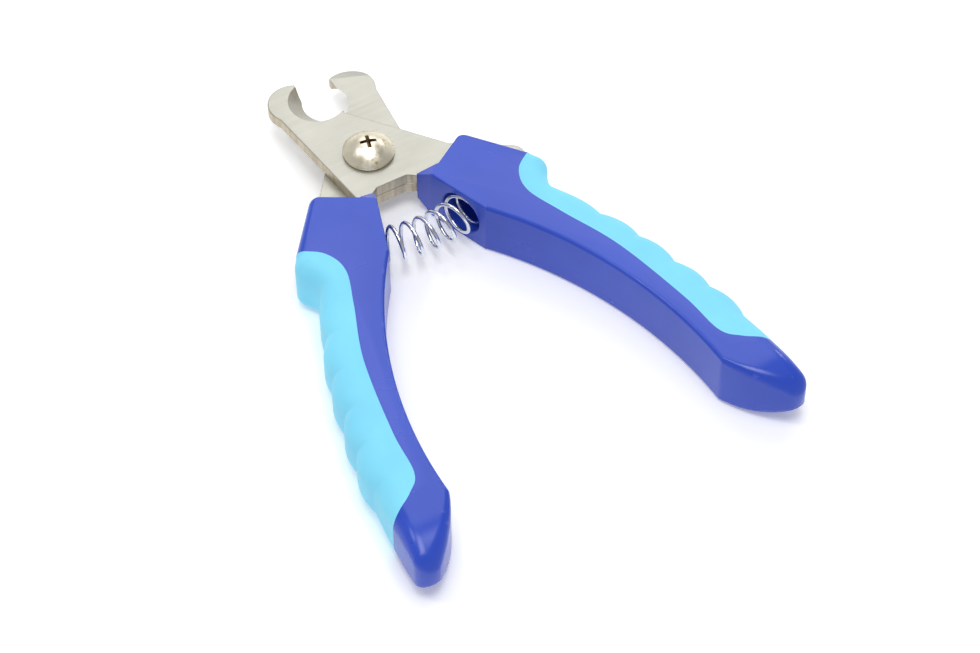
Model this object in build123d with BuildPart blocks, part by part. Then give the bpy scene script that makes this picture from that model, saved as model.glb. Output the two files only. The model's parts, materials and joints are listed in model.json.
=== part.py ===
"""Plier-style pet nail trimmer: two hooked blades on a pivot screw, two handles with soft grips,
a return spring between the handles and a swinging guard plate under the blades.

Millimetres. +Z is up, +Y points from the pivot to the jaws, and the handles lie symmetric about X = 0.
The blades slide on each other in the shear plane, half way up the handles.
"""
import os
from math import atan2, cos, hypot, pi, radians, sin

from build123d import *

# ---- overall sizes -------------------------------------------------------------------------------
jaw_reach = 30.0          # pivot axis to the end of the jaws
handle_reach = 114.6      # pivot axis to the end of the handles
handle_thickness = 15.0

# ---- blades --------------------------------------------------------------------------------------
blade_thickness = 3.0
jaw_end_radius = 6.2
jaw_end_x = -8.0          # middle of the rounded jaw end
jaw_gap_half = 4.8        # centre line to the inner side of an open jaw
notch_x = 0.7             # middle of the round cutting edge, in the shear plane
notch_back = 7.9          # and its distance from the end of the jaws
notch_radius = 6.4
bevel_x = -2.4            # upper limit of the hollow grind, on the outer face
bevel_back = 8.4
bevel_radius = 7.2
shoulder_y = 14.6         # straight shoulder between the jaw and the tang
shoulder_x = 1.5
blade_back_lean = 0.108   # how much the straight back of a blade leans, X per Y
blade_foot_y = -11.1      # lower edge of the blades between the handles
blade_corner_y = -13.6    # back corner, which meets the other handle and stops the opening
tang_outer = [(19.0, -8.3), (22.5, -15.0), (27.5, -28.0), (31.4, -45.4)]
tang_inner = [(26.8, -47.0), (20.6, -30.0), (16.3, -17.2), (7.4, -13.6), (5.9, -12.3)]
tang_keys = [(24.0, -27.0), (28.0, -41.0)]
relief_angle = 111.8      # ground relief on the shear side of the jaw end, from +X
relief_start = 3.55       # from the middle of the jaw end
relief_depth = 0.55       # at the rounded edge
back_corner_drop = 1.6    # where the straight back runs into the rounded jaw end
back_corner_inset = 0.4
foot_left_x = -3.9        # straight lower edge between the handles
foot_right_x = 4.3
foot_slope = 1.5          # slanted corner beside it
tang_key_radius = 1.6

# ---- pivot ---------------------------------------------------------------------------------------
shoulder_diameter = 7.0   # ground shank that the blades turn on
running_clearance = 0.05  # radial, shank in its bores
head_diameter = 12.6
head_gap = 0.05           # head clear of the turning blade
head_rim = 1.1
head_dome = 2.9
recess_span = 5.0
recess_slot = 1.1
recess_depth = 1.9
recess_taper = 12.0
recess_turn = -17.0       # of the cross, from +X
head_cap_sagitta = 0.72   # roundness of the cap between rim and crown
spacer_thickness = 0.8
spacer_diameter = 12.0
guard_thickness = 1.2
spring_washer_thickness = 0.3
spring_washer_height = 0.5
cut_past = 1.0            # cutters reach this far past what they cut
table_clearance = 0.3     # the nut stays this far above what the handles lie on
nut_flats = 10.0
nut_chamfer = 0.4
thread_diameter = 5.0

# ---- handles -------------------------------------------------------------------------------------
nose = (5.7, -12.6)       # inner front edge, beside the blades
front_bend = (10.6, -15.2)
front_corner = (20.5, -8.7)
thumb_start = (31.7, -22.4)
thumb_bulge = 1.8         # height of the bulge behind the front corner
finger_start = (32.2, -35.0)
knuckle = (13.0, -33.5)   # where the spring seat meets the long inner wall
heel_x = 35.4
heel_back = 14.3          # heel to the end of the handle
inner_bow = 5.8
outer_bow = 3.3
tail_x = 49.7             # last finger rest
tail_back = 24.3          # and its distance from the end of the handle
tip_radius = 4.3
tip_x = 46.9
nose_bevel_foot = (7.5, -17.6)   # where the nose bevel leaves the spring seat
nose_wall = 0.7           # plastic over the blade at the nose edge
edge_radius = 1.2
palm_radius = 3.8         # rounding of the side that lies in the palm
finger_count = 5
finger_groove_radius = 8.0
finger_groove_depth = 0.9

# ---- soft grips ----------------------------------------------------------------------------------
grip_wall = 2.2           # rubber over the outer side of the core
grip_cover = 1.8          # rubber over the top and bottom of the core
core_end_inset = 0.8      # the core ends this much narrower, and this far past the last rest
core_end_drop = 2.0
grip_front = (36.5, -20.5)
grip_shoulder = (27.0, -26.6)
grip_neck = (25.0, -33.5)
grip_bow = 2.5
grip_tail_x = 39.1        # end of the long edge, and its distance from the end of the handle
grip_tail_back = 26.3
grip_turn_x = 42.4        # where the edge swings out to the palm side
grip_turn_back = 18.4
grip_end_back = 10.3
grip_far_x = 58.0         # outside the palm side

# ---- spring --------------------------------------------------------------------------------------
wire_diameter = 1.0
coil_diameter = 9.0       # mean
pocket_clearance = 0.6    # round the coil
pocket_depth = 6.5
pocket_y = -26.0          # pocket mouth, measured along the seat from the pivot
coil_turns = 8.5
spring_end_gap = 0.1
coil_points = 12          # per turn

# ---- guard ---------------------------------------------------------------------------------------
guard_eye = 6.5           # radius of the eye round the pivot
guard_arm_angle = 66.0    # from +X, where the arm rests under the right jaw
guard_arm_reach = 26.5
guard_arm_half = 2.9
guard_tab_centre = (32.4, -13.0)
guard_tab_radius = 3.4
guard_neck = (20.6, -3.8)
guard_neck_radius = 2.2

# ---- derived places ------------------------------------------------------------------------------
pivot_y = (handle_reach - jaw_reach) / 2
shear_z = handle_thickness / 2
plan = Plane((0, pivot_y, shear_z))
upright = Plane(plan.origin, x_dir=(1, 0, 0), z_dir=(0, -1, 0))
pivot_axis = Axis(plan.origin, (0, 0, 1))
turn_over = Axis((0, pivot_y, shear_z), (0, 1, 0))
notch_centre = (notch_x, jaw_reach - notch_back)
bevel_centre = (bevel_x, jaw_reach - bevel_back)
jaw_end_centre = (jaw_end_x, jaw_reach - jaw_end_radius)
back_top = (jaw_end_x - jaw_end_radius + back_corner_inset, jaw_end_centre[1] + back_corner_drop)
back_foot = (back_top[0] + blade_back_lean * (back_top[1] - blade_corner_y), blade_corner_y)
heel = (heel_x, heel_back - handle_reach)
grip_rail_end = (grip_tail_x, grip_tail_back - handle_reach)
grip_turn = (grip_turn_x, grip_turn_back - handle_reach)
grip_end = (grip_far_x, grip_end_back - handle_reach)
core_root = (grip_neck[0] - grip_wall, grip_shoulder[1])
core_front = (finger_start[0] - grip_wall, thumb_start[1] - grip_wall)
core_shoulder = (finger_start[0] - grip_wall - finger_groove_depth, finger_start[1])
finger_end = (tail_x, tail_back - handle_reach)
core_end = (finger_end[0] - grip_wall - finger_groove_depth - core_end_inset, finger_end[1] - core_end_drop)
tip_centre = (tip_x, tip_radius - handle_reach)
shank_hole = shoulder_diameter / 2 + running_clearance
spacer_z = -blade_thickness - spacer_thickness
guard_z = spacer_z - guard_thickness
washer_z = guard_z - spring_washer_height
nut_z = table_clearance - shear_z
head_z = blade_thickness + head_gap

relief_way = Vector(cos(radians(relief_angle)), sin(radians(relief_angle)))
relief_foot = Vector(*jaw_end_centre) + relief_way * relief_start
relief_run = jaw_end_radius - relief_start
relief_plane = Plane(
    origin=plan.from_local_coords(relief_foot),
    x_dir=(relief_way.X, relief_way.Y, 0),
    z_dir=(relief_way.Y, -relief_way.X, 0),
)

os.makedirs("parts", exist_ok=True)

# ---- blades: one stamping, turned over for the lower one -----------------------------------------
with BuildPart() as upper_blade:
    with BuildSketch(plan):
        with BuildLine():
            Polyline(
                (-jaw_gap_half, jaw_end_centre[1]),
                (-jaw_gap_half, notch_centre[1]),
                notch_centre,
                (shoulder_x, shoulder_y),
                *tang_outer,
                *tang_inner,
                (foot_right_x, blade_foot_y),
                (foot_left_x, blade_foot_y),
                (foot_left_x - foot_slope, blade_foot_y - foot_slope * 2 / 3),
                back_foot,
                back_top,
                close=True,
            )
        make_face()
        with Locations(jaw_end_centre):
            Circle(jaw_end_radius)
        with Locations((jaw_end_radius - jaw_gap_half, jaw_end_centre[1])):
            Rectangle(2 * jaw_end_radius, 2 * (jaw_end_radius + cut_past), mode=Mode.SUBTRACT)
        Circle(shank_hole, mode=Mode.SUBTRACT)
        with Locations(*tang_keys):
            Circle(tang_key_radius, mode=Mode.SUBTRACT)
    extrude(amount=blade_thickness)
    # hollow grind: a leaning cone that leaves the cutting edge in the shear plane
    with BuildSketch(plan):
        with Locations(notch_centre):
            Circle(notch_radius)
    with BuildSketch(plan.offset(blade_thickness)):
        with Locations(bevel_centre):
            Circle(bevel_radius)
    loft(mode=Mode.SUBTRACT)
    # slanting relief on the shear side of the jaw end
    with BuildSketch(relief_plane):
        with BuildLine():
            Polyline((0, 0), (relief_run, relief_depth), (relief_run, -relief_depth), close=True)
        make_face()
    extrude(amount=2 * jaw_end_radius, both=True, mode=Mode.SUBTRACT)

with BuildPart() as lower_blade:
    add(upper_blade.part.rotate(turn_over, 180))

# ---- handle: the whole outline of one side, core and grip together --------------------------------
nose_half_height = blade_thickness + nose_wall
bevel_line = (Vector(*front_bend) - Vector(*nose_bevel_foot)).normalized()
bevel_plane = Plane(
    origin=plan.from_local_coords(Vector(*front_bend)),
    x_dir=(-bevel_line.Y, bevel_line.X, 0),
    z_dir=(bevel_line.X, bevel_line.Y, 0),
)
nose_run = bevel_plane.to_local_coords(plan.from_local_coords(Vector(*nose))).X

with BuildPart() as handle_blank:
    with BuildSketch(plan.offset(-handle_thickness / 2)):
        with BuildLine():
            Polyline(knuckle, nose, front_bend, front_corner, thumb_start)
            SagittaArc(thumb_start, finger_start, thumb_bulge)
            SagittaArc(finger_start, finger_end, outer_bow)
            Line(finger_end, heel)
            SagittaArc(heel, knuckle, -inner_bow)
        make_face()
    extrude(amount=handle_thickness)
    with BuildSketch(plan.offset(-handle_thickness / 2)):
        with Locations(tip_centre):
            Circle(tip_radius)
        with BuildLine():
            Line(finger_end, heel)
        make_hull()
    extrude(amount=handle_thickness)
    # bevels above and below the nose
    with BuildSketch(bevel_plane):
        with BuildLine():
            Polyline(
                (0, handle_thickness / 2),
                (nose_run, nose_half_height),
                (nose_run + cut_past, nose_half_height),
                (nose_run + cut_past, handle_thickness / 2 + cut_past),
                (0, handle_thickness / 2 + cut_past),
                close=True,
            )
        make_face()
        mirror(about=Plane.XZ)
    extrude(amount=handle_thickness, both=True, mode=Mode.SUBTRACT)

    # large rounding along the palm side, small rounding along the spring side
    rims = [face.edges() for face in handle_blank.faces().filter_by(Axis.Z, tolerance=1e-3)]
    fillet([rim.filter_by(GeomType.CIRCLE).sort_by(Axis.X)[1:] for rim in rims], palm_radius)
    rims = [face.edges() for face in handle_blank.faces().filter_by(Axis.Z, tolerance=1e-3)]
    seat_edges = [rim.filter_by(GeomType.LINE).sort_by(Axis.X)[0] for rim in rims]
    fillet([rim.filter_by(GeomType.CIRCLE).sort_by(Axis.X)[0] for rim in rims] + seat_edges, edge_radius)
    # shallow rests between the fingers
    finger_step = (Vector(*finger_end) - Vector(*finger_start)) / finger_count
    with BuildSketch(plan.offset(-handle_thickness / 2)):
        for index in range(finger_count + 1):
            along = index / finger_count
            crown = 4 * outer_bow * along * (1 - along)
            outward = Vector(-finger_step.Y, finger_step.X).normalized()
            place = Vector(*finger_start) + finger_step * index
            place += outward * (crown + finger_groove_radius - finger_groove_depth)
            with Locations((place.X, place.Y)):
                Circle(finger_groove_radius)
    extrude(amount=handle_thickness, mode=Mode.SUBTRACT)

# the palm side that the soft grip covers
with BuildPart() as grip_zone:
    with BuildSketch(plan.offset(-handle_thickness / 2)):
        with BuildLine():
            ThreePointArc(grip_front, grip_shoulder, grip_neck)
            SagittaArc(grip_neck, grip_rail_end, grip_bow)
            ThreePointArc(grip_rail_end, grip_turn, grip_end)
            Polyline(grip_end, (grip_far_x, grip_front[1]), grip_front)
        make_face()
    extrude(amount=handle_thickness)

# the hard core that carries on under the grip
with BuildPart() as grip_core:
    with BuildSketch(plan.offset(grip_cover - handle_thickness / 2)):
        with BuildLine():
            Polyline(grip_neck, core_root, core_front, core_shoulder)
            SagittaArc(core_shoulder, core_end, outer_bow)
            Polyline(core_end, grip_rail_end)
            SagittaArc(grip_rail_end, grip_neck, -grip_bow)
        make_face()
    extrude(amount=handle_thickness - 2 * grip_cover)

with BuildPart() as right_grip:
    add(handle_blank.part)
    add(grip_zone.part, mode=Mode.INTERSECT)
    add(grip_core.part, mode=Mode.SUBTRACT)

# spring pocket: square to the seat
seat_way = (Vector(*knuckle) - Vector(*nose)).normalized()
pocket_mouth = Vector(*nose) + seat_way * ((pocket_y - nose[1]) / seat_way.Y)
pocket_in = Vector(-seat_way.Y, seat_way.X)
pocket_radius = coil_diameter / 2 + wire_diameter / 2 + pocket_clearance
pocket_plane = Plane(origin=plan.from_local_coords(pocket_mouth), z_dir=pocket_in)

with BuildPart() as right_handle:
    add(handle_blank.part)
    add(grip_zone.part, mode=Mode.SUBTRACT)
    add(grip_core.part)
    add(upper_blade.part, mode=Mode.SUBTRACT)
    with BuildSketch(pocket_plane):
        Circle(pocket_radius)
    extrude(amount=pocket_depth, mode=Mode.SUBTRACT)

with BuildPart() as left_handle:
    add(right_handle.part.rotate(turn_over, 180))

with BuildPart() as left_grip:
    add(right_grip.part.rotate(turn_over, 180))

# ---- pivot hardware ------------------------------------------------------------------------------
# domed screw: shank, rim and cap turned in one profile, cross recess cut into the cap
with BuildPart() as pivot_screw:
    with BuildSketch(upright):
        with BuildLine():
            Polyline(
                (0, head_z + head_rim + head_dome),
                (0, nut_z),
                (thread_diameter / 2, nut_z),
                (thread_diameter / 2, washer_z),
                (shoulder_diameter / 2, washer_z),
                (shoulder_diameter / 2, head_z),
                (head_diameter / 2, head_z),
                (head_diameter / 2, head_z + head_rim),
            )
            SagittaArc(
                (head_diameter / 2, head_z + head_rim),
                (0, head_z + head_rim + head_dome),
                -head_cap_sagitta,
            )
        make_face()
    revolve(axis=pivot_axis)
    with BuildSketch(plan.offset(head_z + head_rim + head_dome)):
        Rectangle(recess_span, recess_slot, rotation=recess_turn)
        Rectangle(recess_slot, recess_span, rotation=recess_turn)
    extrude(amount=-recess_depth, taper=recess_taper, mode=Mode.SUBTRACT)

with BuildPart() as guard_spacer:
    with BuildSketch(plan.offset(spacer_z)):
        Circle(spacer_diameter / 2)
        Circle(shank_hole, mode=Mode.SUBTRACT)
    extrude(amount=spacer_thickness)

with BuildPart() as spring_washer:
    with BuildSketch(upright):
        with BuildLine():
            Polyline(
                (shank_hole, washer_z),
                (spacer_diameter / 2, guard_z - spring_washer_thickness),
                (spacer_diameter / 2, guard_z),
                (shank_hole, washer_z + spring_washer_thickness),
                close=True,
            )
        make_face()
    revolve(axis=pivot_axis)

with BuildPart() as pivot_nut:
    with BuildSketch(plan.offset(nut_z)):
        RegularPolygon(nut_flats / 2, 6, major_radius=False)
        Circle(thread_diameter / 2, mode=Mode.SUBTRACT)
    extrude(amount=washer_z - nut_z)
    chamfer(pivot_nut.edges().filter_by(GeomType.LINE).group_by(Axis.Z)[0], nut_chamfer)

# ---- guard plate: eye on the pivot, stop arm under the right jaw, thumb tab outside the handle -----
arm_way = Vector(cos(radians(guard_arm_angle)), sin(radians(guard_arm_angle)))
arm_end = arm_way * (guard_arm_reach - guard_arm_half)

with BuildPart() as stop_guard:
    with BuildSketch(plan.offset(guard_z)):
        Circle(guard_eye)
        with Locations((arm_end.X, arm_end.Y)):
            Circle(guard_arm_half)
        make_hull()
    extrude(amount=guard_thickness)
    with BuildSketch(plan.offset(guard_z)):
        Circle(guard_eye)
        with Locations(guard_neck):
            Circle(guard_neck_radius)
        make_hull()
    extrude(amount=guard_thickness)
    with BuildSketch(plan.offset(guard_z)):
        with Locations(guard_neck):
            Circle(guard_neck_radius)
        with Locations(guard_tab_centre):
            Circle(guard_tab_radius)
        make_hull()
    extrude(amount=guard_thickness)
    with BuildSketch(plan.offset(guard_z)):
        Circle(shank_hole)
    extrude(amount=guard_thickness, mode=Mode.SUBTRACT)

# ---- return spring: a coil on an arc that meets both seats squarely -------------------------------
arc_centre_y = pocket_mouth.Y + pocket_mouth.X * pocket_in.X / pocket_in.Y
arc_radius = hypot(pocket_mouth.X, pocket_mouth.Y - arc_centre_y)
half_turn = atan2(pocket_mouth.X, arc_centre_y - pocket_mouth.Y)
straight = pocket_depth - spring_end_gap - wire_diameter / 2
coil_length = 2 * (straight + arc_radius * half_turn)


def coil_point(share):
    """Point of the wire's centre line, from the right end of the coil to the left one."""
    along = coil_length * (0.5 - share)
    reach = min(abs(along), arc_radius * half_turn)
    lean = reach / arc_radius
    past = abs(along) - reach
    side = 1 if along > 0 else -1
    out = Vector(sin(lean), -cos(lean))
    way = Vector(cos(lean), sin(lean))
    centre = Vector(0, arc_centre_y) + out * arc_radius + way * past
    swing = 2 * pi * coil_turns * share
    swell = coil_diameter / 2 * cos(swing)
    flat = centre + out * swell
    return plan.from_local_coords(Vector(side * flat.X, flat.Y, coil_diameter / 2 * sin(swing)))


with BuildPart() as return_spring:
    with BuildLine():
        steps = round(coil_turns * coil_points)
        wire = Spline(*[coil_point(step / steps) for step in range(steps + 1)])
    with BuildSketch(Plane(origin=wire @ 0, z_dir=wire % 0)):
        Circle(wire_diameter / 2)
    sweep()

# ---- hand over -----------------------------------------------------------------------------------
pieces = {
    "upper_blade": upper_blade,
    "lower_blade": lower_blade,
    "right_handle": right_handle,
    "left_handle": left_handle,
    "right_grip": right_grip,
    "left_grip": left_grip,
    "pivot_screw": pivot_screw,
    "guard_spacer": guard_spacer,
    "spring_washer": spring_washer,
    "pivot_nut": pivot_nut,
    "stop_guard": stop_guard,
    "return_spring": return_spring,
}
for name, piece in pieces.items():
    piece.part.label = name
    export_step(piece.part, f"parts/{name}.step")
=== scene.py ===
"""Looks of the plier-style pet nail trimmer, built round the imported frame.

Lengths in the shape functions are millimetres in the pivot frame: X to the right handle, Y to the jaws,
Z up, with the origin where the pivot axis crosses the plane that the blades slide in.
"""

import json
import math

import bmesh
import bpy
import numpy as np
from mathutils import Matrix, Vector


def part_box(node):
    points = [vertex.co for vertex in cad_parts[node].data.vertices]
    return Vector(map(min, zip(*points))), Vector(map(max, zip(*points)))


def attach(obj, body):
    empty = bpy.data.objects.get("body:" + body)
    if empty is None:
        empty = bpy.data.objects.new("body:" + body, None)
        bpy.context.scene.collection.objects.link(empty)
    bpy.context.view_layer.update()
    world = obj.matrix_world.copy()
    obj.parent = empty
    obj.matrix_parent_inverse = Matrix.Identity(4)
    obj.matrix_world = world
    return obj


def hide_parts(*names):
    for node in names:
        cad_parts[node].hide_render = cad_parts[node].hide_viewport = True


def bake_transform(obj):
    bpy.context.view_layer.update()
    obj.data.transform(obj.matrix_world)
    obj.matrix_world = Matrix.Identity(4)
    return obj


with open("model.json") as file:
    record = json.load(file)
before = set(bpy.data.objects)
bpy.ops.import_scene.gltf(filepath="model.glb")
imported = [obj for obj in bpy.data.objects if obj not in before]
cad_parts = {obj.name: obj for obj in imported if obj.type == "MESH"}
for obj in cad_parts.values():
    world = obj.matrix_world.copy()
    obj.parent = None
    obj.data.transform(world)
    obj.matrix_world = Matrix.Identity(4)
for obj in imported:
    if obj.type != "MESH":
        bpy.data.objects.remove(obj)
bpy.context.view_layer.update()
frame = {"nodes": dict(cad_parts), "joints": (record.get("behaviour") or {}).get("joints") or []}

MM = 0.001
joints = {joint["name"]: joint for joint in frame["joints"]}
pivot = Vector(joints["handle_pivot"]["pos_m"])

# ---- sizes shared by several pieces ----------------------------------------------------------------
handle_low, handle_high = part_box("right_handle")
half_height = (handle_high.z - handle_low.z) / MM / 2
overcut = 12.0           # how far cutters reach beyond what they cut

# right handle, in plan
seat_top = (5.7, -12.6)  # the spring seat runs from here
knuckle = (13.0, -33.5)  # to here, and the bowed inner side goes on
heel = (35.4, -100.3)    # to here
inner_bow = 5.8
tip_centre = (47.4, -111.2)
tip_radius = 3.3
tip_from = 230.0         # where the bowed inner side runs into the tip circle, degrees from +X
tip_bow = 0.97
tip_run = 11.0           # the top and bottom slope down over this length of the tip
tip_end_height = 0.42    # and leave this share of the height
front_bend = (10.6, -15.2)
front_corner = (20.5, -8.7)
cheek_end = (31.7, -22.4)
thumb_peak = (33.8, -26.6)
last_rest = (49.7, -97.6)
valleys = [(48.8, -90.1), (46.9, -78.9), (44.1, -68.4), (41.2, -57.5), (37.1, -46.8), (31.4, -33.8)]
bump_height = 1.2
bevel_foot = (7.5, -17.6)            # the nose bevel starts on the line from front_bend through here
nose_wall = 0.7          # plastic left over the blade at seat_top
# edge radius at the start and end of each leg of the outline
leg_edges = [
    (0.35, 0.45),        # spring seat
    (0.9, 1.1),          # inner side
    (1.4, 3.1),          # inner side of the tip
    (3.1, 3.1),          # end of the tip
    (0, 0),              # palm side, set by palm_edge instead
    (2.4, 1.8),          # cheek
    (1.0, 0.4),          # front
    (0.25, 0.25),        # nose
]
leg_corners = [1.3, 3.0, 0, 0, 0, 2.4, 0.3, 0.25]        # corner after each leg
palm_edge = ((-111, -101, -92, -46, -36, -26, -22), (3.1, 4.1, 5.0, 5.0, 4.4, 3.4, 2.6))   # by Y

# upper blade, in plan
blade_thickness = 3.0
jaw_end = (-8.0, 23.8)
jaw_end_radius = 6.2
jaw_inside = -4.8
blade_back = [(-13.29, 20.57), (-9.59, -13.6)]
blade_foot = [(-5.4, -12.1), (-3.9, -11.1), (4.3, -11.1)]
tang = [(5.9, -12.3), (7.4, -13.6), (16.3, -17.2), (20.6, -30.0), (26.8, -47.0), (31.4, -45.4),
        (27.5, -28.0), (22.5, -15.0), (19.0, -8.3)]
tang_keys = [(24.0, -27.0), (28.0, -41.0)]
tang_key_radius = 1.6
shoulder = (1.5, 14.6)
cutting_edge = (0.7, 22.1, 6.4)      # middle and radius in the shear plane
grind_limit = (-2.4, 21.6, 7.2)      # and on the outer face
shank_hole = 3.55
relief_angle = 111.8     # way of the relief on the jaw end, degrees from +X
relief_start = 3.55      # from the middle of the jaw end
relief_slope = 0.2075    # rise over run
relief_run = (-0.2, 4.0)             # the wedge's reach along its way, from relief_start
# inset and height of the broken edges, from the shear plane up
blade_rings = [
    (0.17, 0.01), (0.05, 0.05), (0.0, 0.17), (0.0, 0.3),
    (0.0, blade_thickness - 0.42), (0.0, blade_thickness - 0.3), (0.04, blade_thickness - 0.15),
    (0.15, blade_thickness - 0.04), (0.3, blade_thickness),
]

# pivot screw
head_z = 3.05            # underside of the head
head_radius = 6.3
head_rim = 1.1
head_dome = 2.9
dome_share = 0.965       # the dome's radius as a share of the head's
shank_radius = 3.5
shank_end = -5.7
thread_radius = 2.5
thread_end = -7.2
recess_turn = -17.0
recess_depth = 1.7
recess_foot = (0.9, 0.22)            # half length and half width at the bottom of an arm
recess_mouth = (2.45, 0.52)
# painted shade: recess faces within this distance of the axis are painted dark
dark_recess_reach = 2.4         # the dark faces of the recess are this close to the axis

# return spring
wire_radius = 0.5
coil_radius = 4.5
coil_turns = 8.5
end_gap = 0.1
pocket_radius = 5.6
pocket_depth = 6.5
pocket_lip = 0.35
pocket_y = -26.0


def place(x, y, z):
    """A point of the pivot frame, in the row frame in metres."""
    return Vector((x, y, z)) * MM + pivot


# ---- plan curves -----------------------------------------------------------------------------------
def line(a, b, step=0.6):
    a, b = np.array(a, float), np.array(b, float)
    count = max(2, round(np.linalg.norm(b - a) / step))
    return a + np.linspace(0, 1, count + 1)[:, None] * (b - a)


def bowed(a, b, bow, step=0.6):
    """Arc from a to b that stands bow to the left of the straight line between them."""
    a, b = np.array(a, float), np.array(b, float)
    chord = np.linalg.norm(b - a)
    radius = (chord**2 / 4 + bow**2) / (2 * abs(bow))
    half = math.asin(chord / 2 / radius)
    along = (b - a) / chord
    left = np.array((-along[1], along[0])) * math.copysign(1, bow)
    centre = (a + b) / 2 + left * (abs(bow) - radius)
    turns = np.linspace(-half, half, max(4, round(chord / step)) + 1)
    return centre + radius * (np.sin(turns)[:, None] * along + np.cos(turns)[:, None] * left)


def through(points, step=0.6):
    """Smooth curve through the points."""
    p = np.array(points, float)
    p = np.vstack((2 * p[0] - p[1], p, 2 * p[-1] - p[-2]))
    pieces = []
    for k in range(1, len(p) - 2):
        count = max(3, round(np.linalg.norm(p[k + 1] - p[k]) / step))
        t = np.linspace(0, 1, count, endpoint=False)[:, None]
        start, end = (p[k + 1] - p[k - 1]) / 2, (p[k + 2] - p[k]) / 2
        pieces.append(
            (2 * t**3 - 3 * t**2 + 1) * p[k]
            + (t**3 - 2 * t**2 + t) * start
            + (3 * t**2 - 2 * t**3) * p[k + 1]
            + (t**3 - t**2) * end
        )
    return np.vstack((*pieces, p[-2][None]))


def unit(v):
    return v / np.linalg.norm(v)


def cut_back(leg, length):
    """The leg without its first stretch of that length."""
    steps = np.linalg.norm(np.diff(leg, axis=0), axis=1)
    run = np.concatenate(((0,), np.cumsum(steps)))
    keep = run > length + 0.05
    start = np.array([np.interp(length, run, leg[:, k]) for k in (0, 1)])
    return np.vstack((start, leg[keep]))


def joined(legs, corner_radii):
    """Closed outline of the legs with rounded corners, and for each point which leg it belongs to."""
    legs = [np.array(leg) for leg in legs]
    arcs = []
    for k, radius in enumerate(corner_radii):
        following = (k + 1) % len(legs)
        d1, d2 = unit(legs[k][-1] - legs[k][-2]), unit(legs[following][1] - legs[following][0])
        turn = math.acos(max(-1.0, min(1.0, float(d1 @ d2))))
        if radius <= 0 or turn < 0.02:
            arcs.append(None)
            continue
        back = radius * math.tan(turn / 2)
        legs[k] = cut_back(legs[k][::-1], back)[::-1]
        legs[following] = cut_back(legs[following], back)
        reach = 4 / 3 * math.tan(turn / 4) * radius
        a, b = legs[k][-1], legs[following][0]
        t = np.linspace(0, 1, max(4, round(turn / 0.16)) + 1)[1:-1, None]
        arcs.append(
            (1 - t) ** 3 * a
            + 3 * (1 - t) ** 2 * t * (a + d1 * reach)
            + 3 * (1 - t) * t**2 * (b - d2 * reach)
            + t**3 * b
        )
    points, owner = [], []
    for k, leg in enumerate(legs):
        last = leg if arcs[k] is not None else leg[:-1]
        points.append(last)
        owner += [k] * len(last)
        if arcs[k] is not None:
            points.append(arcs[k])
            owner += [k + 0.5] * len(arcs[k])
    return np.vstack(points), np.array(owner)


def inward_of(points):
    """Unit vectors into a closed anticlockwise outline, one for each of its points."""
    way = np.roll(points, -1, axis=0) - np.roll(points, 1, axis=0)
    way /= np.linalg.norm(way, axis=1)[:, None]
    return np.column_stack((-way[:, 1], way[:, 0]))


# ---- mesh helpers ----------------------------------------------------------------------------------
def solid(name, vertices, faces):
    """A mesh object from pivot-frame vertices, with outward normals."""
    mesh = bpy.data.meshes.new(name)
    mesh.from_pydata([place(*v) for v in vertices], [], faces)
    made = bmesh.new()
    made.from_mesh(mesh)
    bmesh.ops.recalc_face_normals(made, faces=made.faces)
    made.to_mesh(mesh)
    made.free()
    piece = bpy.data.objects.new(name, mesh)
    bpy.context.scene.collection.objects.link(piece)
    return piece


def from_bmesh(name, made):
    """A mesh object from a bmesh, without the normals and layers that it came with."""
    made.verts.index_update()
    faces = [[v.index for v in face.verts] for face in made.faces]
    mesh = bpy.data.meshes.new(name)
    mesh.from_pydata([v.co.copy() for v in made.verts], [], faces)
    made.free()
    piece = bpy.data.objects.new(name, mesh)
    bpy.context.scene.collection.objects.link(piece)
    return piece


def rings_solid(name, rings):
    """Closed solid from rings of equal length, capped at both ends."""
    rings = [np.asarray(ring) for ring in rings]
    count = len(rings[0])
    vertices = np.vstack(rings)
    faces = []
    for r in range(len(rings) - 1):
        for k in range(count):
            n = (k + 1) % count
            faces.append((r * count + k, r * count + n, (r + 1) * count + n, (r + 1) * count + k))
    faces.append(tuple(range(count))[::-1])
    faces.append(tuple(range((len(rings) - 1) * count, len(rings) * count)))
    return solid(name, vertices, faces)


def prism(name, outline, bottom, top):
    flat = np.array(outline, float)
    levels = [np.column_stack((flat, np.full(len(flat), z))) for z in (bottom, top)]
    return rings_solid(name, levels)


def drop(piece):
    mesh = piece.data
    bpy.data.objects.remove(piece)
    bpy.data.meshes.remove(mesh)


def combine(piece, other, operation):
    """piece joined with, cut by or kept inside other."""
    change = piece.modifiers.new("change", "BOOLEAN")
    change.operation, change.object, change.solver = operation, other, "MANIFOLD"
    bpy.context.view_layer.update()
    evaluated = piece.evaluated_get(bpy.context.evaluated_depsgraph_get())
    mesh = bpy.data.meshes.new_from_object(evaluated)
    piece.modifiers.clear()
    old, piece.data = piece.data, mesh
    bpy.data.meshes.remove(old)
    return piece


def copied(piece, name):
    twin = bpy.data.objects.new(name, piece.data.copy())
    bpy.context.scene.collection.objects.link(twin)
    return twin


def turned_over(piece, name):
    """The same piece turned over about the Y line through the pivot, as the other handle is."""
    twin = copied(piece, name)
    about = Matrix.Translation(pivot) @ Matrix.Rotation(math.pi, 4, "Y") @ Matrix.Translation(-pivot)
    twin.data.transform(about)
    return twin


def smooth(piece, sharp_degrees):
    piece.data.shade_smooth()
    piece.data.set_sharp_from_angle(angle=math.radians(sharp_degrees))


def hand_over(piece, body, node, paint):
    """piece stands for the CAD node, rides on its body and wears the paint."""
    piece.data.materials.clear()
    piece.data.materials.append(paint)
    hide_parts(node)
    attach(piece, body)


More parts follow.
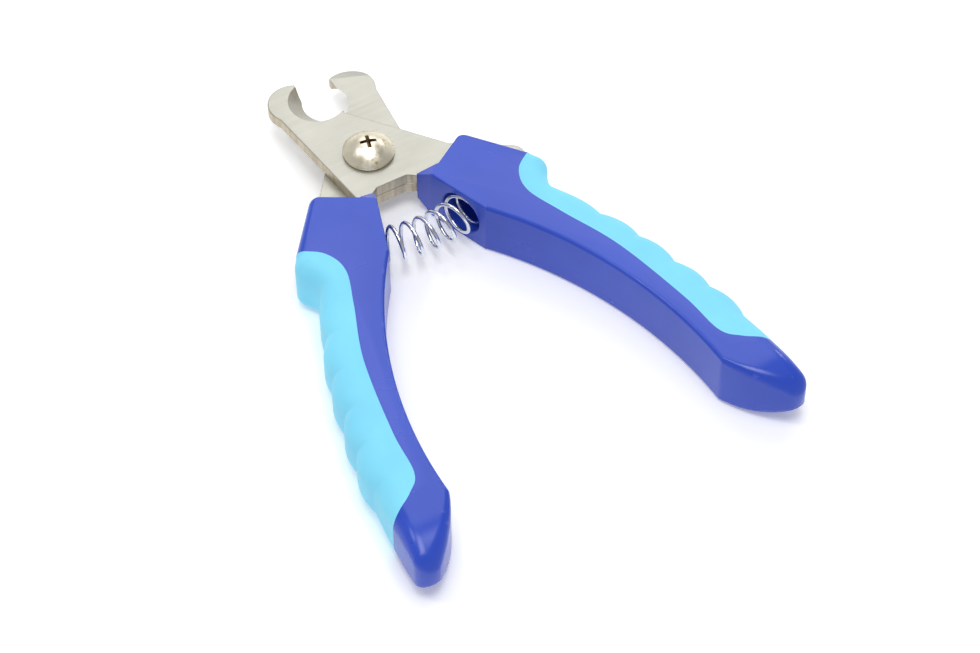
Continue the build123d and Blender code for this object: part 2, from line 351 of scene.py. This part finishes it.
# ---- handle ----------------------------------------------------------------------------------------
def tip_tangent(point, side):
    """Where the line from point touches the tip circle, on the given side (1 left, -1 right)."""
    centre, start = np.array(tip_centre), np.array(point)
    away = centre - start
    distance = np.linalg.norm(away)
    angle = math.atan2(away[1], away[0]) + side * math.asin(tip_radius / distance)
    reach = math.sqrt(distance**2 - tip_radius**2)
    return start + reach * np.array((math.cos(angle), math.sin(angle)))


def tip_arc(start, end):
    centre = np.array(tip_centre)
    a = math.atan2(*(start - centre)[::-1])
    b = math.atan2(*(end - centre)[::-1])
    b += 2 * math.pi if b < a else 0
    angles = np.linspace(a, b, 30)
    return centre + tip_radius * np.column_stack((np.cos(angles), np.sin(angles)))


def handle_outline():
    """Outline points, their edge radius, and how far the finger bumps stand out, going round
    anticlockwise from the nose."""
    begin = math.radians(tip_from)
    under = np.array(tip_centre) + tip_radius * np.array((math.cos(begin), math.sin(begin)))
    over = tip_tangent(last_rest, 1)
    legs = [
        line(seat_top, knuckle),
        bowed(knuckle, heel, inner_bow),
        bowed(heel, under, -tip_bow),
        tip_arc(under, over),
        through([over, last_rest, *valleys, thumb_peak, cheek_end], step=0.45),
        line(cheek_end, front_corner),
        line(front_corner, front_bend),
        line(front_bend, seat_top),
    ]
    points, owner = joined(legs, leg_corners)
    radius = np.zeros(len(points))
    for k, (start, end) in enumerate(leg_edges):
        mine = np.flatnonzero(owner == k)
        radius[mine] = np.linspace(start, end, len(mine))
        turn = np.flatnonzero(owner == k + 0.5)
        radius[turn] = np.linspace(end, leg_edges[(k + 1) % len(leg_edges)][0], len(turn))
    palm = owner == 4
    y = points[:, 1]
    radius[palm] = np.interp(y, *palm_edge)[palm]
    # finger bumps: an arc between each two valleys
    bump = np.zeros(len(points))
    stops = [v[1] for v in valleys]
    for a, b in zip(stops[:-1], stops[1:]):
        inside = palm & (y >= a) & (y <= b)
        share = (y[inside] - a) / (b - a)
        bump[inside] = bump_height * 4 * share * (1 - share)
    return points, radius, bump


def lower_tip(piece):
    """Slope the top and bottom down towards the tip, on cross cuts so that the faces there stay short."""
    end = tip_centre[1] - tip_radius
    made = bmesh.new()
    made.from_mesh(piece.data)
    for y in np.linspace(end + 0.3, end + tip_run, 18):
        bmesh.ops.bisect_plane(
            made, geom=[*made.verts, *made.edges, *made.faces], dist=1e-7, plane_co=place(0, y, 0),
            plane_no=(0, 1, 0),
        )
    for vertex in made.verts:
        share = min(1.0, max(0.0, (end + tip_run - (vertex.co.y - pivot.y) / MM) / tip_run))
        slope = math.sqrt(1 - (1 - tip_end_height**2) * share**2)
        vertex.co.z = pivot.z + (vertex.co.z - pivot.z) * slope
    made.to_mesh(piece.data)
    made.free()


def handle_blank():
    """Solid handle with its finger rests and a rounding that changes round the outline."""
    points, radius, bump = handle_outline()
    inward = inward_of(points)
    angles = np.radians(np.linspace(0, 90, 10))
    rings = []
    for angle in angles:
        inset = radius * (1 - math.cos(angle))
        fade = 1 - (angle / (math.pi / 2)) ** 3
        flat = points + inward * (inset - bump * fade)[:, None]
        rings.append(np.column_stack((flat, half_height - radius * (1 - math.sin(angle)))))
    flat = points + inward * (radius + 0.12)[:, None]
    rings.append(np.column_stack((flat, np.full(len(flat), half_height))))
    under = [ring * (1, 1, -1) for ring in rings]
    return rings_solid("handle_blank", under[::-1] + rings)


def grip_zone():
    """The palm side that the soft grip covers, as a tall prism."""
    edge = through(
        [(40.0, -16.4), (31.3, -22.6), (26.1, -26.8), (24.5, -33.5), (27.9, -43.5), (33.9, -59.0),
         (38.3, -80.0), (39.7, -92.2), (43.2, -96.6), (48.4, -99.9), (58.0, -105.2)]
    )
    outline = np.vstack((edge, ((64.0, -105.2), (64.0, -16.4))))
    return prism("grip_zone", outline, -overcut, overcut)


def pocket_frame():
    """Pocket mouth on the spring seat, and the way into the handle."""
    way = unit(np.array(knuckle) - np.array(seat_top))
    mouth = np.array(seat_top) + way * (pocket_y - seat_top[1]) / way[1]
    return mouth, np.array((-way[1], way[0]))


def pocket_plug():
    mouth, inward = pocket_frame()
    across = np.array((-inward[1], inward[0]))
    rings = []
    widened = pocket_radius + 1 + pocket_lip
    for depth, radius in ((-1, widened), (pocket_lip, pocket_radius), (pocket_depth, pocket_radius)):
        ring = []
        for angle in np.linspace(0, 2 * math.pi, 48, endpoint=False):
            flat = mouth + inward * depth + across * radius * math.cos(angle)
            ring.append((flat[0], flat[1], radius * math.sin(angle)))
        rings.append(ring)
    return rings_solid("pocket_plug", rings)


def nose_cutter(side):
    """Everything above the bevel of the nose (side 1), or below the lower one (side -1)."""
    ridge, foot = np.array(front_bend), np.array(bevel_foot)
    along = unit(foot - ridge)
    out = np.array((along[1], -along[0]))
    run = float((np.array(seat_top) - ridge) @ out)
    fall = half_height - blade_thickness - nose_wall
    far = 3.0
    profile = [(-0.02, 0.01), (run * far, -fall * far), (run * far, 4.0), (-0.02, 4.0)]
    rings = []
    for shift in (-12.0, 14.0):
        ring = []
        for reach, rise in profile:
            flat = ridge + along * shift + out * reach
            ring.append((flat[0], flat[1], side * (half_height + rise)))
        rings.append(ring)
    return rings_solid("nose_cutter", rings)


def blade_plug(node):
    """The CAD blade as a clean solid, for cutting its slot."""
    source = frame["nodes"][node].data
    made = bmesh.new()
    made.from_mesh(source)
    bmesh.ops.remove_doubles(made, verts=made.verts, dist=2e-6)
    return from_bmesh("blade_plug", made)


def build_handles(plastic, rubber):
    core, zone = handle_blank(), grip_zone()
    grip = copied(core, "right_grip_rubber")
    combine(grip, zone, "INTERSECT")
    combine(core, zone, "DIFFERENCE")
    core.name = "right_handle_moulding"
    cutters = [zone, pocket_plug(), nose_cutter(1), nose_cutter(-1), blade_plug("upper_blade")]
    for cutter in cutters[1:]:
        combine(core, cutter, "DIFFERENCE")
    for cutter in cutters:
        drop(cutter)
    lower_tip(core)
    lower_tip(grip)
    smooth(core, 32)
    smooth(grip, 42)
    left_core = turned_over(core, "left_handle_moulding")
    left_grip = turned_over(grip, "left_grip_rubber")
    hand_over(core, "right_side", "right_handle", plastic)
    hand_over(grip, "right_side", "right_grip", rubber)
    hand_over(left_core, "left_side", "left_handle", plastic)
    hand_over(left_grip, "left_side", "left_grip", rubber)


# ---- metal pieces ----------------------------------------------------------------------------------
def machined(node, name, edge, sharp_degrees=28):
    """The CAD node as a clean mesh with its sharp edges broken."""
    made = bmesh.new()
    made.from_mesh(frame["nodes"][node].data)
    bmesh.ops.remove_doubles(made, verts=made.verts, dist=2e-6)
    bmesh.ops.dissolve_limit(made, angle_limit=math.radians(0.6), verts=made.verts, edges=made.edges)
    keen = [e for e in made.edges if e.is_manifold and e.calc_face_angle() > math.radians(sharp_degrees)]
    bmesh.ops.bevel(
        made, geom=keen, offset=edge * MM, offset_type="OFFSET", segments=2, profile=0.5,
        affect="EDGES", clamp_overlap=True,
    )
    piece = from_bmesh(name, made)
    smooth(piece, 40)
    return piece


def circle(x, y, radius, count):
    angles = np.linspace(0, 2 * math.pi, count, endpoint=False)
    return np.column_stack((x + radius * np.cos(angles), y + radius * np.sin(angles)))


def blade_outline():
    """Plan of the upper blade, anticlockwise from the inner corner of its jaw."""
    centre = np.array(jaw_end)
    begin = math.acos((jaw_inside - jaw_end[0]) / jaw_end_radius)
    stop = math.atan2(*(np.array(blade_back[0]) - centre)[::-1]) % (2 * math.pi)
    angles = np.linspace(begin, stop, 60)
    corners = [*blade_back, *blade_foot, *tang, shoulder, cutting_edge[:2], (jaw_inside, cutting_edge[1])]
    legs = [centre + jaw_end_radius * np.column_stack((np.cos(angles), np.sin(angles)))]
    legs += [line(a, b) for a, b in zip(corners[:-1], corners[1:])]
    legs.append(line(corners[-1], legs[0][0]))
    rounding = [1.5, 0.5, 0.6, 0.6, 0.5] + [0.3] * len(tang) + [0.6, 0, 0, 0]
    return joined(legs, rounding)[0]


def ground_blade():
    """Upper blade: stamped plate with broken edges, a hollow-ground jaw and a relief on the jaw end."""
    points = blade_outline()
    inward = inward_of(points)
    rings = []
    for inset, z in blade_rings:
        rings.append(np.column_stack((points + inward * inset, np.full(len(points), z))))
    blade = rings_solid("upper_blade_plate", rings)
    below, above = -1, blade_thickness + 1
    cone = []
    for z in (below, above):
        x, y, radius = (a + (b - a) * z / blade_thickness for a, b in zip(cutting_edge, grind_limit))
        ring = circle(x, y, radius, 180)
        cone.append(np.column_stack((ring, np.full(len(ring), z))))
    slant = math.radians(relief_angle)
    out = np.array((math.cos(slant), math.sin(slant)))
    along = np.array((-out[1], out[0]))
    middle = np.array(jaw_end)
    foot, crest = (reach * relief_slope for reach in relief_run)
    wedge = []
    for shift in (-overcut, overcut):
        near, far = (middle + out * (relief_start + reach) + along * shift for reach in relief_run)
        wedge.append([(*near, foot), (*far, crest), (*far, below), (*near, below)])
    cutters = [rings_solid("grind", cone), rings_solid("relief", wedge)]
    cutters.append(prism("bore", circle(0, 0, shank_hole, 64), below, above))
    for key in tang_keys:
        cutters.append(prism("key", circle(*key, tang_key_radius, 64), below, above))
    for cutter in cutters:
        combine(blade, cutter, "DIFFERENCE")
        drop(cutter)
    smooth(blade, 30)
    for face in blade.data.polygons:
        face.use_smooth = abs(face.normal.z) < 0.9999
    return blade


def turned(name, profile, count=96):
    """Solid of revolution about the pivot axis, from a profile of (radius, height) that starts and ends
    on the axis."""
    angles = np.linspace(0, 2 * math.pi, count, endpoint=False)
    vertices, faces, rows = [], [], []
    for radius, height in profile:
        if radius < 1e-6:
            rows.append([len(vertices)] * count)
            vertices.append((0, 0, height))
            continue
        rows.append(list(range(len(vertices), len(vertices) + count)))
        vertices += [(radius * math.cos(a), radius * math.sin(a), height) for a in angles]
    for upper, lower in zip(rows[:-1], rows[1:]):
        for k in range(count):
            n = (k + 1) % count
            corner = (upper[k], upper[n], lower[n], lower[k])
            faces.append(tuple(dict.fromkeys(corner)))
    return solid(name, vertices, faces)


def coil_line(count):
    """Centre line of the spring wire, bent in an arc that meets both seats squarely."""
    mouth, inward = pocket_frame()
    centre_y = mouth[1] + mouth[0] * inward[0] / inward[1]
    radius = math.hypot(mouth[0], mouth[1] - centre_y)
    half_turn = math.atan2(mouth[0], centre_y - mouth[1])
    straight = pocket_depth - end_gap - wire_radius
    length = 2 * (straight + radius * half_turn)
    points = []
    for share in np.linspace(0, 1, count):
        along = length * (0.5 - share)
        reach = min(abs(along), radius * half_turn)
        lean, past = reach / radius, abs(along) - reach
        out = np.array((math.sin(lean), -math.cos(lean)))
        way = np.array((math.cos(lean), math.sin(lean)))
        swing = 2 * math.pi * coil_turns * share
        flat = np.array((0, centre_y)) + out * (radius + coil_radius * math.cos(swing)) + way * past
        points.append((math.copysign(1, along) * flat[0], flat[1], coil_radius * math.sin(swing)))
    return np.array(points)


def wire_tube(name, path, radius, sides=12):
    """Round wire along a path, with its ends closed."""
    ways = np.gradient(path, axis=0)
    ways /= np.linalg.norm(ways, axis=1)[:, None]
    across = np.cross(ways[0], (0, 0, 1))
    rings = []
    for point, way in zip(path, ways):
        across = unit(across - way * float(across @ way))
        third = np.cross(way, across)
        rings.append([point + radius * (math.cos(a) * across + math.sin(a) * third)
                      for a in np.linspace(0, 2 * math.pi, sides, endpoint=False)])
    return rings_solid(name, rings)


# ---- materials -------------------------------------------------------------------------------------
class Paint:
    """A material under construction: a Principled shader and a few helpers for its nodes."""

    def __init__(self, name, colour, metallic, roughness):
        self.material = bpy.data.materials.new(name)
        self.material.use_nodes = True
        self.tree = self.material.node_tree
        self.shader = self.tree.nodes["Principled BSDF"]
        self.shader.inputs["Base Color"].default_value = (*colour, 1)
        self.shader.inputs["Metallic"].default_value = metallic
        self.shader.inputs["Roughness"].default_value = roughness

    def node(self, kind, **values):
        made = self.tree.nodes.new("ShaderNode" + kind)
        for key, value in values.items():
            setattr(made, key, value)
        return made

    def link(self, start, end):
        self.tree.links.new(start, end)

    def place(self, scale=(1, 1, 1), turn=0.0):
        """Object coordinates, stretched and turned about Z."""
        source = self.node("TexCoord")
        move = self.node("Mapping")
        move.inputs["Scale"].default_value = scale
        move.inputs["Rotation"].default_value = (0, 0, turn)
        self.link(source.outputs["Object"], move.inputs["Vector"])
        return move.outputs["Vector"]

    def noise(self, scale, detail=3.0, rough=0.5, stretch=(1, 1, 1), turn=0.0):
        made = self.node("TexNoise")
        made.inputs["Scale"].default_value = scale
        made.inputs["Detail"].default_value = detail
        made.inputs["Roughness"].default_value = rough
        self.link(self.place(stretch, turn), made.inputs["Vector"])
        return made.outputs["Fac"]

    def spread(self, value, low, high, start=0.3, end=0.7):
        """value from start to end as a number from low to high."""
        made = self.node("MapRange")
        for key, number in (("From Min", start), ("From Max", end), ("To Min", low), ("To Max", high)):
            made.inputs[key].default_value = number
        self.link(value, made.inputs["Value"])
        return made.outputs["Result"]

    def mix(self, share, a, b):
        """Colour between a and b, each a colour or an output."""
        made = self.node("Mix", data_type="RGBA")
        self.link(share, made.inputs["Factor"])
        for socket, value in ((made.inputs[6], a), (made.inputs[7], b)):
            if isinstance(value, tuple):
                socket.default_value = (*value, 1)
            else:
                self.link(value, socket)
        return made.outputs[2]

    def bump(self, height, distance, strength=1.0, under=None):
        made = self.node("Bump")
        made.inputs["Strength"].default_value = strength
        made.inputs["Distance"].default_value = distance * MM
        self.link(height, made.inputs["Height"])
        if under is not None:
            self.link(under, made.inputs["Normal"])
        return made.outputs["Normal"]

    def out(self, colour=None, roughness=None, normal=None):
        for name, value in (("Base Color", colour), ("Roughness", roughness), ("Normal", normal)):
            if value is not None:
                self.link(value, self.shader.inputs[name])
        return self.material


def moulded_plastic():
    """Glossy deep blue moulding, slightly wavy, with a very fine grain and lighter convex edges, which are
    a painted highlight and partly edge wear.
    """
    paint = Paint("moulded_plastic", (0.025, 0.07, 0.52), 0, 0.26)
    paint.shader.inputs["Specular IOR Level"].default_value = 0.5
    flow = paint.spread(paint.noise(45, 2.0), 0.0, 1.0)
    colour = paint.mix(flow, (0.018, 0.062, 0.50), (0.026, 0.078, 0.57))
    # painted highlight, partly edge wear: convex edges, found by pointiness, get a lighter blue
    edge = paint.node("NewGeometry").outputs["Pointiness"]
    edge_wear_and_highlight = paint.spread(edge, 0.0, 0.35, 0.52, 0.60)
    colour = paint.mix(edge_wear_and_highlight, colour, (0.10, 0.13, 0.66))
    rough = paint.spread(paint.noise(90, 2.0, 0.5), 0.22, 0.28)
    fine = paint.bump(paint.noise(2600, 1.0, 0.5), 0.004, 0.25)
    wavy = paint.bump(paint.noise(60, 1.0), 0.02, 0.15, fine)
    return paint.out(colour, rough, wavy)


def soft_rubber():
    """Matte light blue thermoplastic rubber, slightly darker in patches, with a fine grain."""
    paint = Paint("soft_rubber", (0.25, 0.72, 1.0), 0, 0.55)
    paint.shader.inputs["Specular IOR Level"].default_value = 0.3
    paint.shader.inputs["Sheen Weight"].default_value = 0.08
    paint.shader.inputs["Subsurface Weight"].default_value = 0.05
    paint.shader.inputs["Subsurface Scale"].default_value = 0.001
    patch = paint.spread(paint.noise(60, 3.0), 0.0, 1.0)
    colour = paint.mix(patch, (0.215, 0.70, 0.95), (0.245, 0.77, 1.0))
    rough = paint.spread(paint.noise(300, 3.0), 0.5, 0.62)
    grain = paint.bump(paint.noise(2600, 3.0, 0.65), 0.02, 0.6)
    return paint.out(colour, rough, grain)


def blade_steel():
    """Satin stainless plate: fine grain on the faces, coarser tan shear marks on the stamped walls."""
    paint = Paint("blade_steel", (0.6, 0.58, 0.53), 1, 0.4)
    normal = paint.node("NewGeometry").outputs["Normal"]
    parts = paint.node("SeparateXYZ")
    paint.link(normal, parts.inputs[0])
    upright = paint.node("Math", operation="ABSOLUTE")
    paint.link(parts.outputs["Z"], upright.inputs[0])
    wall = paint.spread(upright.outputs[0], 1.0, 0.0, 0.35, 0.9)
    cloud = paint.spread(paint.noise(70, 3.0), 0.0, 1.0)
    face = paint.mix(cloud, (0.46, 0.452, 0.40), (0.52, 0.512, 0.46))
    marks = paint.noise(900, 3.0, 0.6, (1, 1, 0.08))
    side = paint.mix(paint.spread(marks, 0.0, 1.0), (0.40, 0.35, 0.25), (0.62, 0.56, 0.44))
    colour = paint.mix(wall, face, side)
    grain = paint.noise(60, 6.0, 0.7, (1, 30, 30), math.radians(-62))
    rough = paint.spread(grain, 0.36, 0.50)
    brushed = paint.bump(grain, 0.004, 0.5)
    sheared = paint.bump(marks, 0.02, 0.25, brushed)
    return paint.out(colour, rough, sheared)


def plated(name, dark, light, rough_low, rough_high, tarnish=None):
    """Plated or polished metal with faint mottling, and spots of tarnish if a colour is given."""
    paint = Paint(name, light, 1, rough_low)
    mottle = paint.spread(paint.noise(260, 4.0, 0.6), 0.0, 1.0)
    colour = paint.mix(mottle, dark, light)
    if tarnish is not None:
        colour = paint.mix(paint.spread(paint.noise(420, 3.0, 0.6), 0.0, 0.8, 0.62, 0.70), colour, tarnish)
    rough = paint.spread(paint.noise(900, 3.0), rough_low, rough_high)
    skin = paint.bump(paint.noise(1260, 2.0), 0.004, 0.35)
    return paint.out(colour, rough, skin)


def table_top():
    paint = Paint("table_top", (0.93, 0.93, 0.93), 0, 0.6)
    tone = paint.spread(paint.noise(9, 2.0), 0.0, 1.0)
    colour = paint.mix(tone, (0.925, 0.925, 0.93), (0.94, 0.94, 0.94))
    paint.shader.inputs["Emission Color"].default_value = (1, 1, 1, 1)
    paint.shader.inputs["Emission Strength"].default_value = 0.22
    return paint.out(colour)


# ---- pieces ----------------------------------------------------------------------------------------
def build_screw(plating, recess_shade_paint):
    """Domed screw head with a cross recess, its shank and thread end."""
    shoulder_z = head_z + head_rim
    crown = shoulder_z + head_dome
    profile = [(0.0, crown)]
    # crown: flatter cap over a steeper shoulder, down to the rim
    for share in np.linspace(0.08, 1, 22):
        profile.append((head_radius * dome_share * share, crown - head_dome * share**2.15))
    profile += [
        (head_radius, shoulder_z - 0.25), (head_radius + 0.02, head_z + 0.45),
        (head_radius - 0.1, head_z + 0.12), (head_radius - 0.35, head_z),
        (shank_radius, head_z), (shank_radius, shank_end), (thread_radius, shank_end),
        (thread_radius, thread_end + 0.3), (thread_radius - 0.3, thread_end), (0.0, thread_end),
    ]
    head = turned("pivot_screw_plated", profile)
    for turn in (0, 90):
        wing = rings_solid("wing", [
            [(-a, -b, z), (a, -b, z), (a, b, z), (-a, b, z)]
            for (a, b), z in ((recess_foot, crown - recess_depth), (recess_mouth, crown + 0.3))
        ])
        about = Matrix.Translation(pivot) @ Matrix.Rotation(math.radians(turn + recess_turn), 4, "Z")
        wing.data.transform(about @ Matrix.Translation(-pivot))
        combine(head, wing, "DIFFERENCE")
        drop(wing)
    smooth(head, 38)
    hand_over(head, "left_side", "pivot_screw", plating)
    head.data.materials.append(recess_shade_paint)
    # painted shade: the faces inside the recess get a dark material, darker than the head, standing for
    # the shade in the recess
    floor_z = crown - recess_depth
    for face in head.data.polygons:
        spot = (face.center - pivot) / MM
        inside = spot.z > floor_z - 0.1 and math.hypot(spot.x, spot.y) < dark_recess_reach
        if inside and (face.normal.z < 0.62 or spot.z < floor_z + 0.2):
            face.material_index = 1


def build_spring(wire):
    """Spring between the two pockets."""
    path = coil_line(620)
    spring = wire_tube("return_spring_wire", path, wire_radius)
    smooth(spring, 60)
    spring.data.materials.append(wire)
    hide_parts("return_spring")
    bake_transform(spring)


def build_stage():
    """Pale table, a large softbox behind the tool, one overhead and a small lamp to each side."""
    bpy.ops.mesh.primitive_plane_add(size=8)
    table = bpy.context.object
    table.name = "table"
    table.data.materials.append(table_top())
    world = bpy.data.worlds.new("studio")
    bpy.context.scene.world = world
    world.use_nodes = True
    # white walls round the table, darker overhead
    tree = world.node_tree
    kinds = ("TexCoord", "SeparateXYZ", "MapRange")
    way, parts, rise = (tree.nodes.new("ShaderNode" + kind) for kind in kinds)
    tree.links.new(way.outputs["Generated"], parts.inputs[0])
    tree.links.new(parts.outputs["Z"], rise.inputs["Value"])
    for key, number in (("From Min", 0.1), ("From Max", 0.75), ("To Min", 0.60), ("To Max", 0.30)):
        rise.inputs[key].default_value = number
    tree.links.new(rise.outputs["Result"], tree.nodes["Background"].inputs["Strength"])
    tree.nodes["Background"].inputs["Color"].default_value = (1, 1, 1, 1)
    boxes = [
        ("back_box", (0.36, 0.74, 0.86), 0.9, 3.9),
        ("top_box", (-0.05, -0.15, 1.15), 0.6, 6.0),
        ("left_lamp", (-0.50, 0.34, 0.95), 0.18, 1.2),
        ("right_lamp", (0.85, 0.40, 0.50), 0.18, 0.7),
    ]
    for name, spot, size, watts in boxes:
        lamp = bpy.data.lights.new(name, "AREA")
        lamp.shape, lamp.size, lamp.energy = "SQUARE", size, watts
        holder = bpy.data.objects.new(name, lamp)
        holder.location = spot
        holder.rotation_euler = (-Vector(spot)).to_track_quat("-Z", "Y").to_euler()
        bpy.context.scene.collection.objects.link(holder)


def build_camera():
    """Camera at the photograph's viewing angle."""
    eye = place(-224.77, -444.73, 537.26)
    yaw, dip, roll = math.radians(-30.13), math.radians(50.36), math.radians(-0.51)
    lens = bpy.data.cameras.new("camera")
    lens.sensor_width, lens.lens = 36.0, 111.16
    lens.clip_start, lens.clip_end = 0.05, 20
    camera = bpy.data.objects.new("camera", lens)
    forward = Vector((-math.sin(yaw) * math.cos(dip), math.cos(yaw) * math.cos(dip), -math.sin(dip)))
    right = Vector((math.cos(yaw), math.sin(yaw), 0))
    up = right.cross(forward)
    turned_right = right * math.cos(roll) + up * math.sin(roll)
    turned_up = up * math.cos(roll) - right * math.sin(roll)
    camera.matrix_world = Matrix.Translation(eye) @ Matrix(
        (turned_right, turned_up, -forward)
    ).transposed().to_4x4()
    bpy.context.scene.collection.objects.link(camera)
    bpy.context.scene.camera = camera


build_camera()
build_stage()
build_handles(moulded_plastic(), soft_rubber())
steel = blade_steel()
upper = ground_blade()
lower = turned_over(upper, "lower_blade_plate")
hand_over(upper, "right_side", "upper_blade", steel)
hand_over(lower, "left_side", "lower_blade", steel)
build_screw(
    plated(
        "screw_plate", (0.85, 0.77, 0.58), (0.98, 0.93, 0.79), 0.28, 0.44, tarnish=(0.42, 0.32, 0.17)
    ),
    # dark brown painted shade for the screw recess
    plated("painted_recess_shade", (0.16, 0.10, 0.04), (0.40, 0.29, 0.15), 0.4, 0.6),
)
bright = plated("hardware_steel", (0.55, 0.54, 0.52), (0.68, 0.67, 0.65), 0.25, 0.4)
for node in ("guard_spacer", "spring_washer", "pivot_nut"):
    hand_over(machined(node, node + "_turned", 0.1), "left_side", node, bright)
guard_metal = plated("guard_steel", (0.50, 0.48, 0.44), (0.66, 0.64, 0.60), 0.3, 0.45)
guard = machined("stop_guard", "stop_guard_plate", 0.3)
hand_over(guard, "guard", "stop_guard", guard_metal)
build_spring(plated("spring_wire", (0.68, 0.71, 0.76), (0.86, 0.88, 0.92), 0.1, 0.2))

bpy.context.scene.view_settings.view_transform = "Standard"
